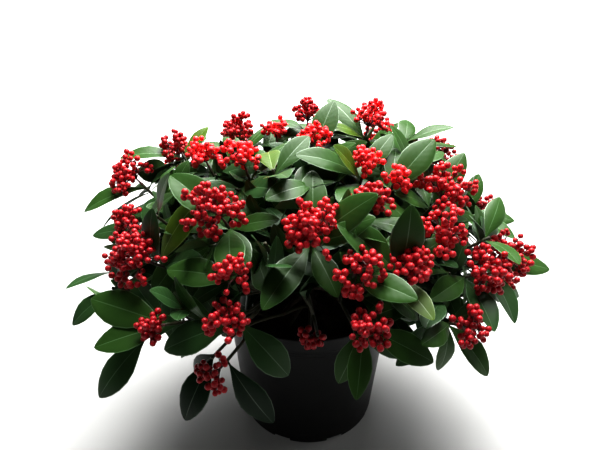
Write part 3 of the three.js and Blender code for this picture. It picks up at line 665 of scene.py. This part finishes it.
def seeded_leaf(at, kind, k, attempt, group=0, first=0):
    """Leaf k of a shoot. Each stands 137.5 degrees on from the last, at the kind's pitch off the
    axis, and droops where the dome turns down. A further attempt turns, lifts and shortens it."""
    shoot, axis, tip = at["shoot"], at["axis"], at["tip"]
    number = k + 10 * group
    side = level_side(axis)
    across = np.cross(side, axis)
    t = np.clip((at["tilt"] - DROOP["first"]) / DROOP["over"], 0, 1)
    turn = np.radians(TURN * (k + 7 * group) + 360 * chance(shoot, 0, 1) + RETRY["turn"] * attempt)
    lean = kind["pitch"] + LEAF["lean"] * (chance(shoot, number, 2) - 0.5)
    pitch = np.radians(lean - RETRY["pitch"] * attempt)
    out = side * np.cos(turn) + across * np.sin(turn)
    droop = DROOP["most"] * t * t * (3 - 2 * t)
    direction = unit(axis * np.cos(pitch) + out * np.sin(pitch) - UP * droop)
    length = LEAF["length"] + LEAF["spread"] * (2 * chance(shoot, number, 3) - 1)
    return dict(
        base=tip - axis * (kind["below"] + kind["step"] * (k + first)),
        direction=direction,
        face=upper_face(axis, direction),
        length=length * kind["scale"] * (1 - RETRY["shorter"] * attempt),
        bend=bend_of(kind, shoot, number, 4),
        shoot=shoot,
        number=number,
        tilt=at["tilt"],
    )


def shown_leaf(end, k, attempt):
    """A leaf that is listed: the way to its tip, opened by half of its own bend."""
    azimuth, elevation, size = end["shown"][k]
    azimuth += RETRY["shown_turn"] * (attempt if attempt % 2 else -attempt)
    towards = toward(azimuth, 90 - elevation - RETRY["shown_lift"] * attempt)
    base = end["tip"] - end["axis"] * (WHORL["below"] + WHORL["step"] * k)
    face = upper_face(end["axis"] + LEAF_LIGHT["turn"] * unit(ONLOOKER - base), towards)
    bend = bend_of(WHORL, end["shoot"], k, 8)
    hinge = np.cross(towards, face)
    return dict(
        base=base,
        direction=turned_about(towards, hinge, bend / 2),
        face=turned_about(face, hinge, bend / 2),
        length=LEAF["length"] * size,
        bend=bend,
        shoot=end["shoot"],
        number=SHOWN_FROM + k,
        tilt=end["tilt"],
        shown=True,
    )


def midline(leaf, share):
    """Points on a leaf's midline: an arc that leaves along its direction and bends to its back."""
    arc = leaf["bend"] * np.asarray(share, float)[..., None]
    ahead = leaf["direction"] * np.sin(arc) - leaf["face"] * (1 - np.cos(arc))
    return leaf["base"] + ahead * leaf["length"] / leaf["bend"]


def outside_the_dome(points):
    """How far places lie out of the dome, as a share of its radii."""
    x, y = points[..., 0] / CROWN["radius_x"], points[..., 1] / CROWN["radius_y"]
    rise = points[..., 2] - CROWN["middle"]
    z = rise / np.where(rise > 0, CROWN["up"] * LIMIT["up"], CROWN["down"] * LIMIT["down"])
    return np.sqrt(x**2 + y**2 + z**2)


def in_the_mouth(points):
    """Whether places lie in the crown's opening at the front: within its half width round, and
    under a slope that rises outwards from above the pot's rim."""
    out = np.hypot(points[..., 0], points[..., 1])
    turn = np.degrees(np.arctan2(points[..., 1], points[..., 0])) % 360
    under = points[..., 2] < MOUTH["height"] + MOUTH["slope"] * (out - RIM_RADIUS)
    return (np.abs(turn - MOUTH["middle"]) < MOUTH["half_width"]) & under & (out > MOUTH["inmost"])


taken = np.zeros((0, 3))        # the probed points of every leaf so far
post_points = np.array([p for p, _ in posts])
post_radii = np.array([r for _, r in posts])
leaves = []


def grow(leaf_at, room):
    """Sets a leaf where its probed points find room. It is lifted and turned at each try."""
    global taken
    for attempt in range(ROOM["tries"]):
        leaf = leaf_at(attempt)
        across = np.cross(leaf["face"], leaf["direction"])
        half = LEAF["width"] * leaf["length"] / 2
        probes = midline(leaf, PROBES[:, 0]) + across * PROBES[:, 1:] * half
        out = np.hypot(probes[:, 0], probes[:, 1]) - RIM_RADIUS
        low = ROOM["ground"] if "shown" in leaf else SKIRT["height"] + SKIRT["slope"] * out
        if not (np.all(probes[:, 2] > low) and np.all(off_the_pot(probes))):
            continue
        if len(taken) and np.min(np.linalg.norm(probes[:, None] - taken, axis=-1)) < room:
            continue
        clear = np.linalg.norm(probes[:, None] - post_points, axis=-1) > post_radii
        if "shown" not in leaf and (np.any(in_the_mouth(probes)) or not np.all(clear)):
            continue
        if "shown" not in leaf and np.any(outside_the_dome(probes) >= LIMIT["reach"]):
            continue
        taken = np.vstack([taken, probes])
        leaves.append(leaf)
        return


def in_turn(rows):
    """Takes the first of each row, then the second of each, and so on."""
    for k in range(max(map(len, rows))):
        yield from (row[k] for row in rows if k < len(row))


shown_rows, seeded_rows = [], []
for mass in masses:
    ends = mass["ends"]
    shown_rows.append([partial(shown_leaf, end, k) for end in ends for k in range(len(end["shown"]))])
    row = []
    for end in ends:
        first = len(end["shown"])
        kind = WHORL if end["size"] else {**ROSETTE, "leaves": ROSETTE["leaves"] + 1}
        count = max(1, kind["leaves"] - first)
        row += [partial(seeded_leaf, end, kind, k, first=first) for k in range(count)]
        if end["size"]:
            row += [partial(seeded_leaf, end, LOWER, k, group=1) for k in range(LOWER["leaves"])]
    seeded_rows.append(row)
for leaf_at in in_turn(shown_rows):
    grow(leaf_at, ROOM["leaf"])
spots = np.concatenate([midline(leaf, LEAF_LIGHT["shares"]) for leaf in leaves])
for i in range(LEAF_LIGHT["places"]):
    far = LEAF_LIGHT["first"] + LEAF_LIGHT["step"] * i
    post_points = np.vstack([post_points, spots + far * unit(ONLOOKER - spots)])
    post_radii = np.append(post_radii, np.full(len(spots), LEAF_LIGHT["radius"]))

grown_sides = []
big = [i for i, (_, radius) in enumerate(posts) if radius > 2 * ROOM["bough"]]
for side in side_shoots:
    if np.all(np.linalg.norm(post_points[big] - side["to"], axis=-1) > post_radii[big]):
        grown_sides.append(side)
        side["tip"] = side["to"]
        seeded_rows.append([partial(seeded_leaf, side, ROSETTE, k) for k in range(ROSETTE["leaves"])])
for leaf_at in in_turn(seeded_rows):
    grow(leaf_at, ROOM["leaf"])

# Finer growth of the same kind: more leaves in each whorl, and leafy spurs inside the crown.
fine_rows = []
for mass in masses:
    for end in mass["ends"]:
        fine_rows.append([partial(seeded_leaf, end, WHORL, k, group=2) for k in range(FINE["whorl"])])
for side in grown_sides:
    fine_rows.append([partial(seeded_leaf, side, ROSETTE, k, group=2) for k in range(FINE["rosette"])])
for spur in inner_shoots:
    spur["tip"] = spur["to"]
    fine_rows.append([partial(seeded_leaf, spur, FILL, k) for k in range(FILL["leaves"])])
for leaf_at in in_turn(fine_rows):
    grow(leaf_at, ROOM["fine_leaf"])

twig_bark = finish_of("young_twig", (0.06, 0.055, 0.025), 0.6, Specular_IOR_Level=0.3)
mottle(twig_bark, 180, (0.034, 0.020, 0.012), (0.025, 0.038, 0.012), "Base Color")
grain(twig_bark, 900, 0.0003, 0.6, stretch=(1, 1, 0.4))
foliage_nodes = [f"foliage_{mass['name']}" for mass in masses]
leafy = {leaf["shoot"] for leaf in leaves}
thick = np.linspace(TWIG["base"], TWIG["tip"], TWIG["steps"] + TWIG["neck_steps"] + 1)
twigs, twig_faces = tubes(twig_lines, thick, 9)
spurs = [s for s in [*grown_sides, *inner_shoots] if s["shoot"] in leafy]
lines = [bow(s["start"], (s["start"] + s["to"]) / 2 - UP * 2, s["to"], SHOOT["steps"]) for s in spurs]
slim = np.linspace(SHOOT["radius"], SHOOT["tip"], SHOOT["steps"] + 1)
spur_points, spur_faces = tubes(lines, slim, 7)
new_piece("twigs", twigs, twig_faces, [twig_bark], "bark", foliage_nodes)
new_piece("side_shoots", spur_points, spur_faces, [twig_bark], "bark", foliage_nodes)

# A leaf's cross-section is a loop of ten points: eight over the top from edge to edge, with a
# narrow pair for the rib and one for each pale margin, and two under the rib. The last row numbers
# the finish from each point to the next: 0 the blade, 1 the rib and margins, 2 the underside.
LOOP = np.array([-1, -0.94, -0.55, -0.03, 0.03, 0.55, 0.94, 1, 0.09, -0.09])
UNDER = np.array([0, 0, 0, 0, 0, 0, 0, 0, 1, 1])
LOOP_KINDS = np.array([1, 0, 0, 1, 0, 0, 1, 2, 2, 2])
STEPS = np.array([0, 0.07, 0.16, 0.28, 0.42, 0.56, 0.7, 0.83, 0.93, 0.98, 1])
RIM = (0, 7)
# Shares of a leaf's length or width, each with how much chance adds to it, and degrees of roll.
BLADE = dict(width=(0.35, 0.07), fold=(0.16, 0.26), curl=(0.14, 0.24), wave=0.05, roll=26)
THICK, THINNER, STALK_HALF_WIDTH = 0.9, 0.6, 1.1


def blades(rows):
    """Closed blades for all leaves at once. At share s along the midline the half width is
    sin(pi s^1.25)^(1.2 - 0.5 s), and x of it out lies fold |x| - curl x^2 higher, with a wave."""
    keys = ("shoot", "number", "length", "bend", "base", "direction", "face")
    shoot, number, length, bend, base, direction, face = (
        np.array([leaf[key] for leaf in rows]) for key in keys
    )

    def drawn(low, more, purpose):
        """A value for each leaf, from low up by as much as more."""
        return (low + more * chance(shoot, number, purpose))[:, None, None]

    roll = np.radians(BLADE["roll"]) * (chance(shoot, number, 12) - 0.5)
    roll = (roll * np.array([0.5 if "shown" in leaf else 1 for leaf in rows]))[:, None]
    face = face * np.cos(roll) + np.cross(face, direction) * np.sin(roll)
    side = np.cross(face, direction)
    base, direction, face, side = (v[:, None, None] for v in (base, direction, face, side))
    length, bend = length[:, None, None], bend[:, None, None]
    s, x = STEPS[None, :, None], LOOP[None, None, :]
    shape = np.sin(np.pi * s**1.25).clip(0) ** (1.2 - 0.5 * s)
    half = drawn(*BLADE["width"], 13) * length / 2 * shape
    half = np.maximum(half, STALK_HALF_WIDTH * (1 - s) + 0.05)
    fold, curl = drawn(*BLADE["fold"], 14), drawn(*BLADE["curl"], 15)
    wave = BLADE["wave"] * np.sin(9 * s + drawn(0, 6.3, 16) + 1.2 * np.sign(x))
    over = half * (fold * np.abs(x) - curl * x**2 + wave * x**2) - UNDER * (THICK - THINNER * s)
    arc = bend * s
    ahead, down = length * np.sin(arc) / bend, length * (1 - np.cos(arc)) / bend
    points = (
        base
        + direction * (ahead + over * np.sin(arc))[..., None]
        + face * (over * np.cos(arc) - down)[..., None]
        + side * (half * x)[..., None]
    )
    loop, steps = len(LOOP), len(STEPS)
    i, j = np.meshgrid(np.arange(steps - 1) * loop, np.arange(loop), indexing="ij")
    k = (j + 1) % loop
    one = np.stack([i + j, i + j + loop, i + k + loop, i + k], -1).reshape(-1, 4)
    start = (np.arange(len(rows)) * loop * steps)[:, None, None]
    foot, tip = np.arange(loop)[None], np.arange(loop)[::-1][None] + (steps - 1) * loop
    caps = np.concatenate([foot + start[:, 0], tip + start[:, 0]])
    kinds = np.concatenate([np.tile(LOOP_KINDS, (steps - 1) * len(rows)), np.full(len(caps), 2)])
    uv = np.broadcast_to(np.stack([x + 0 * s, s + 0 * x], -1), points.shape[:3] + (2,))
    faces = [(one[None] + start).reshape(-1, 4), caps]
    return points.reshape(-1, 3), faces, kinds, uv.reshape(-1, 2)


def on_the_rim(a, b):
    """An edge is creased where both of its points lie on the same side of a leaf's edge."""
    n = len(LOOP)
    return (a % n == b % n) & np.isin(a % n, RIM)


def leaf_finishes(name, top, rib, under, roughness):
    """A tone's upper side with faint side veins, its rib and margins, and its paler underside. The
    veins are sin(62 (s - 0.16 |x|)), for the share s along the leaf and x across it."""
    blade = finish_of(f"{name}_leaf", top, roughness, Specular_IOR_Level=0.12)
    where = add_node(blade, "UVMap").outputs["UV"]
    split = add_node(blade, "SeparateXYZ", Vector=where)
    off = add_node(blade, "Math", {"operation": "ABSOLUTE"}, i0=split.outputs["X"]).outputs[0]
    slant = add_node(blade, "Math", {"operation": "MULTIPLY"}, i0=off, i1=-0.16).outputs[0]
    run = add_node(blade, "Math", {"operation": "ADD"}, i0=split.outputs["Y"], i1=slant).outputs[0]
    veins = add_node(blade, "Math", {"operation": "MULTIPLY"}, i0=run, i1=62.0).outputs[0]
    vein = add_node(blade, "Math", {"operation": "SINE"}, i0=veins).outputs[0]
    bump = add_node(blade, "Bump", Height=vein, Distance=0.0002, Strength=0.12)
    shader = blade.node_tree.nodes["Principled BSDF"]
    blade.node_tree.links.new(bump.outputs["Normal"], shader.inputs["Normal"])
    return [
        blade,
        finish_of(f"{name}_rib", rib, roughness),
        finish_of(f"{name}_underside", under, 0.6, Specular_IOR_Level=0.3),
    ]


# A tone's upper side, rib and underside, and how rough it is, from the shade to this year's leaves.
# Deep in the crown and low down the darker tones are painted shade, far out the lighter ones painted
# light; chance and the young leaves' own yellow-green also pick a leaf's tone.
TONES = {
    "shaded": ((0.005, 0.018, 0.006), (0.025, 0.055, 0.024), (0.022, 0.045, 0.018), 0.38),
    "deep": ((0.019, 0.050, 0.014), (0.040, 0.095, 0.034), (0.040, 0.085, 0.030), 0.38),
    "mid": ((0.025, 0.066, 0.012), (0.055, 0.125, 0.038), (0.060, 0.120, 0.036), 0.4),
    "fresh": ((0.050, 0.094, 0.007), (0.12, 0.20, 0.04), (0.10, 0.17, 0.035), 0.44),
}
TONE_STEPS = [0.85, 1.55, 2.55]
FRESH = ((50, 1), (71, 1), (82, 0), (110, 1), (120, 2), (150, 3))    # shoot and number of young leaves


def tone_and_painted_shade(leaf):
    """How bright a leaf's green is: more so far out on the dome and less on its top and low down,
    which is painted light and shade, with a share by chance for its shoot and one for itself, and
    the young leaves well above."""
    shoot, number = leaf["shoot"], leaf["number"]
    out = outside_the_dome(midline(leaf, 0.5))
    height = np.interp(leaf["tilt"], [0, 45, 120], [-0.3, 0, -1.25])
    own = 1.5 * out + height + 0.8 * chance(shoot, 0, 17) + 0.3 * chance(shoot, number, 18)
    return own + 2 * ((shoot, number - SHOWN_FROM) in FRESH)


tone_of = np.digitize([tone_and_painted_shade(leaf) for leaf in leaves], TONE_STEPS)
for t, (tone, colors) in enumerate(TONES.items()):
    points, faces, kinds, uv = blades([leaf for leaf, its in zip(leaves, tone_of) if its == t])
    new_piece(
        f"leaves_{tone}", points, faces, leaf_finishes(tone, *colors), "foliage", foliage_nodes,
        kinds, uv, on_the_rim,
    )


# ----------------------------------------------------------------------------------------------
# The heads of fruit. A panicle of thin red-brown stalks branches from the twig's tip, and each
# branch ends in a few round glossy red berries with a small dark scar.
# ----------------------------------------------------------------------------------------------

BERRY, BERRY_SPREAD = 3.5, 0.5      # radius, and how much it varies
CROWDING, CLUSTER = 0.088, 7        # berries in a head per square of its radius, and on a branch
OPENING = 108       # degrees from the axis to the last of a head's branches
REACH, REACH_SPREAD, OVERHANG = 0.42, 0.5, 1.18     # of branches and berries, as shares of the radius
INNER, INNER_REACH = 0.28, 0.45     # share of the berries that sit inside, and how far out they do
APART, ROUNDS = 0.15, 40        # room between berries, and the rounds in which they are moved apart
# Berries sit from near to near + more round a branch's end, and closer in heads under the full radius.
# They lie onward along the branch and loose to every side, and none lies further past its end.
BUNCH = dict(near=3, more=8, full=26, onward=0.7, loose=2.4, past=12)
FORK = 0.72     # share of a branch's reach where its berries' stalks leave it


def panicle(head):
    """Places of a head's berries, and the branch that each hangs on. Branch ends are spread over a
    dome by the golden angle, some short and some long. Berries gather round them, some of them
    further in, and where two overlap they are moved apart along the line between them."""
    radius, shoot, axis = head["radius"], head["shoot"], head["axis"]
    count = int(CROWDING * radius**2)
    arms = max(4, round(count / CLUSTER))
    side = level_side(axis)
    across = np.cross(axis, side)
    j = np.arange(arms)
    cos = 1 - (j + 0.3) / arms * (1 - np.cos(np.radians(OPENING)))
    sin, turn = np.sqrt(1 - cos**2), np.radians(TURN) * j + 6.3 * chance(shoot, 0, 30)
    right, up = (sin * np.cos(turn))[:, None], (sin * np.sin(turn))[:, None]
    ways = axis * cos[:, None] + side * right + across * up
    reach = radius * (REACH + REACH_SPREAD * chance(shoot, j, 31))
    k = np.arange(count)
    arm = (k * (0.7 + 0.3 * chance(shoot, k, 39))).astype(int) % arms
    loose = np.stack([chance(shoot, k, 32), chance(shoot, k, 33), chance(shoot, k, 34)], -1) - 0.5
    size = BERRY + BERRY_SPREAD * (2 * chance(shoot, k, 35) - 1)
    cluster = BUNCH["near"] + BUNCH["more"] * chance(shoot, k, 38)
    cluster = cluster * np.minimum(1, radius / BUNCH["full"])
    inside = np.where(chance(shoot, k, 40) < INNER, INNER_REACH, 1)[:, None]
    aside = unit(BUNCH["onward"] * ways[arm] + BUNCH["loose"] * loose)
    spots = (ways * reach[:, None])[arm] * inside + aside * cluster[:, None]
    apart = size[:, None] + size[None] + APART
    most = np.minimum(reach[arm] + BUNCH["past"], radius * OVERHANG) - size
    for _ in range(ROUNDS):
        gap = spots[:, None] - spots[None]
        far = np.linalg.norm(gap, axis=-1) + np.eye(count) * 99
        push = np.clip(apart - far, 0, None) / 2
        spots = spots + np.sum(gap / far[..., None] * push[..., None], axis=1)
        spots = spots * np.minimum(1, most / np.linalg.norm(spots, axis=-1))[:, None]
    ends = ways * (FORK * reach)[:, None]
    return spots + head["point"], size, ends + head["point"], arm


ROWS = np.radians([8, 40, 74, 106, 142])        # the first lies round the scar
COLUMNS = 8
SCAR_DENT = 0.97


def berries_at(spots, sizes, ways):
    """Round berries: rings at set angles from the scar, which faces away from the stalk. Point j of
    the ring at angle t lies at size (sin t (cos j side + sin j across) + cos t way)."""
    side = level_side(ways)
    across = np.cross(ways, side)
    a = np.arange(COLUMNS) * 2 * np.pi / COLUMNS
    ring = side[:, None] * np.cos(a)[:, None] + across[:, None] * np.sin(a)[:, None]
    size = sizes[:, None, None]
    rows = [(spots + ways * sizes[:, None] * SCAR_DENT)[:, None]]
    rows += [spots[:, None] + ring * size * np.sin(t) + ways[:, None] * size * np.cos(t) for t in ROWS]
    rows += [(spots - ways * sizes[:, None])[:, None]]
    points = np.concatenate(rows, 1)
    each = points.shape[1]
    j = np.arange(COLUMNS)
    k = (j + 1) % COLUMNS
    first = np.stack([j * 0, 1 + j, 1 + k], -1)
    last = np.stack([j * 0 + each - 1, each - 1 - COLUMNS + k, each - 1 - COLUMNS + j], -1)
    i = (1 + np.arange(len(ROWS) - 1) * COLUMNS)[:, None]
    quads = np.stack([i + j, i + j + COLUMNS, i + k + COLUMNS, i + k], -1).reshape(-1, 4)
    start = (np.arange(len(spots)) * each)[:, None, None]
    faces = [(part + start).reshape(-1, part.shape[-1]) for part in (first, last, quads)]
    kinds = np.zeros(sum(map(len, faces)), int)
    kinds[: len(faces[0])] = 1
    return points.reshape(-1, 3), faces, kinds


# Four copies of one red, as painted light and shade: the heads on top get the lightest and pinkest red, a
# painted highlight, and the lower a head hangs the darker its red, a painted shade.
REDS_BY_PAINTED_SHADE = {
    "bright": (0.92, 0.036, 0.044),
    "half_lit": (0.50, 0.013, 0.019),
    "half_shaded": (0.40, 0.009, 0.014),
    "dark": (0.33, 0.006, 0.011),
}
PAINTED_SHADE_STEPS = [0.4, 0.66, 0.95]
HUB = 0.35      # where a head's branches meet, above its twig's tip, as a share of its radius
# Radii of a head's stem, its branches and the stalks of its berries, from the foot to the end.
STEM_RADII, BRANCH_RADII = [1.8, 1.6, 1.4, 1.1], [1.0, 0.85, 0.75, 0.65]
STALK_RADII = [0.5, 0.45, 0.45, 0.55]
scar = finish_of("berry_scar", (0.10, 0.010, 0.008), 0.8)
stalk_red = finish_of("panicle_stalk", (0.075, 0.018, 0.016), 0.55)
by_red = {name: [] for name in REDS_BY_PAINTED_SHADE}
stalks, stalk_radii = [], []
for head in heads:
    spots, sizes, ends, arm = panicle(head)
    hub = head["tip"] + head["axis"] * HUB * head["radius"]
    ways = unit(spots - ends[arm])
    # Painted shade: the lower a head hangs, the darker the red it gets, with a share by chance.
    shade = head["tilt"] / 90 + 0.3 * chance(head["shoot"], 0, 36)      # low heads are darker
    name = list(REDS_BY_PAINTED_SHADE)[np.digitize(shade, PAINTED_SHADE_STEPS)]
    by_red[name].append((spots, sizes, ways))
    for end in ends:
        stalks.append(bow(hub, (hub + end) / 2 + head["axis"] * 2, end, 3))
        stalk_radii.append(BRANCH_RADII)
    for spot, end, size, way in zip(spots, ends[arm], sizes, ways):
        stalks.append(bow(end - way, (end + spot) / 2, spot - way * size * 0.9, 3))
        stalk_radii.append(STALK_RADII)
    stalks.append(bow(head["tip"] - head["axis"], head["tip"], hub, 3))
    stalk_radii.append(STEM_RADII)
for name, parts in by_red.items():
    spots, sizes, ways = (np.concatenate(column) for column in zip(*parts))
    points, faces, kinds = berries_at(spots, sizes, ways)
    skin = finish_of(f"{name}_berry", REDS_BY_PAINTED_SHADE[name], 0.4, Specular_IOR_Level=0.28)
    new_piece(f"berries_{name}", points, faces, [skin, scar], "foliage", foliage_nodes, kinds)
points, faces = tubes(stalks, np.array(stalk_radii), 5)
new_piece("panicle_stalks", points, faces, [stalk_red], "foliage", foliage_nodes)


# ----------------------------------------------------------------------------------------------
# The stage. A pale level floor, soft studio light from above and behind, and the camera. Places
# and sizes here are in metres.
# ----------------------------------------------------------------------------------------------

FLOOR_REACH = 60
DEEP_DARKS = 0.84       # a gamma under 1 keeps the gaps between the leaves dark

scene = bpy.context.scene
scene.view_settings.view_transform = "Standard"
scene.view_settings.gamma = DEEP_DARKS
floor_mesh = bpy.data.meshes.new("floor")
corners = [(x * FLOOR_REACH, y * FLOOR_REACH, 0) for x, y in ((-1, -1), (1, -1), (1, 1), (-1, 1))]
floor_mesh.from_pydata(corners, [], [(0, 1, 2, 3)])

# Behind the plant the floor glows more and more, so that it has no far edge, and a faint glow over
# its front lightens the shadow round the pot.
pale = finish_of("pale_floor", (0.39, 0.39, 0.382), 0.75)
where = add_node(pale, "TexCoord").outputs["Object"]
far = add_node(pale, "SeparateXYZ", Vector=where).outputs["Y"]
glow = add_node(pale, "MapRange", Value=far, From_Min=0.2, From_Max=1.2, To_Min=0.03, To_Max=1.2)
shader = pale.node_tree.nodes["Principled BSDF"]
shader.inputs["Emission Color"].default_value = (1, 1, 1, 1)
pale.node_tree.links.new(glow.outputs["Result"], shader.inputs["Emission Strength"])
floor_mesh.materials.append(pale)
floor = bpy.data.objects.new("floor", floor_mesh)
scene.collection.objects.link(floor)

# The backdrop over the floor looks pale, but gives hardly any light of its own.
scene.world = bpy.data.worlds.new("studio")
scene.world.use_nodes = True
backdrop = scene.world.node_tree.nodes["Background"]
backdrop.inputs["Color"].default_value = (1, 1, 1, 1)
seen = add_node(scene.world, "LightPath").outputs["Is Camera Ray"]
strength = add_node(scene.world, "MapRange", Value=seen, To_Min=0.02, To_Max=0.42)
scene.world.node_tree.links.new(strength.outputs["Result"], backdrop.inputs["Strength"])


def soft_light(name, place, aim, size, power):
    """A square area light at a place, turned to face a point."""
    lamp = bpy.data.lights.new(name, "AREA")
    lamp.size, lamp.energy = size, power
    light = bpy.data.objects.new(name, lamp)
    light.location = place
    back = unit(np.array(place, float) - np.array(aim, float))
    side = unit(np.cross((0, 0.01, 1), back))
    over = np.cross(back, side)
    light.rotation_euler = Matrix(np.stack([side, over, back], 1).tolist()).to_euler()
    scene.collection.objects.link(light)


soft_light("overhead", (0.14, 0.5, 1.6), (0, 0, 0.3), 1.3, 122)
soft_light("behind", (0, 1.9, 1.1), (0, 0, 0.3), 1.6, 14)
soft_light("right", (1.7, 0.4, 0.8), (0, 0, 0.3), 1.2, 8)

# A wide skylight, which falls steeply from a little behind.
sky = bpy.data.lights.new("skylight", "SUN")
sky.energy, sky.angle = 2.8, np.radians(40)
skylight = bpy.data.objects.new("skylight", sky)
skylight.rotation_euler = (np.radians(-24), 0, 0)
scene.collection.objects.link(skylight)

lens = bpy.data.cameras.new("camera")
lens.lens, lens.sensor_width, lens.clip_start = 30, 36, 0.01
camera = bpy.data.objects.new("camera", lens)
camera.location = (-0.0117, -0.586, 0.586)
camera.rotation_euler = (np.radians(63.4), 0, 0)
scene.collection.objects.link(camera)
scene.camera = camera
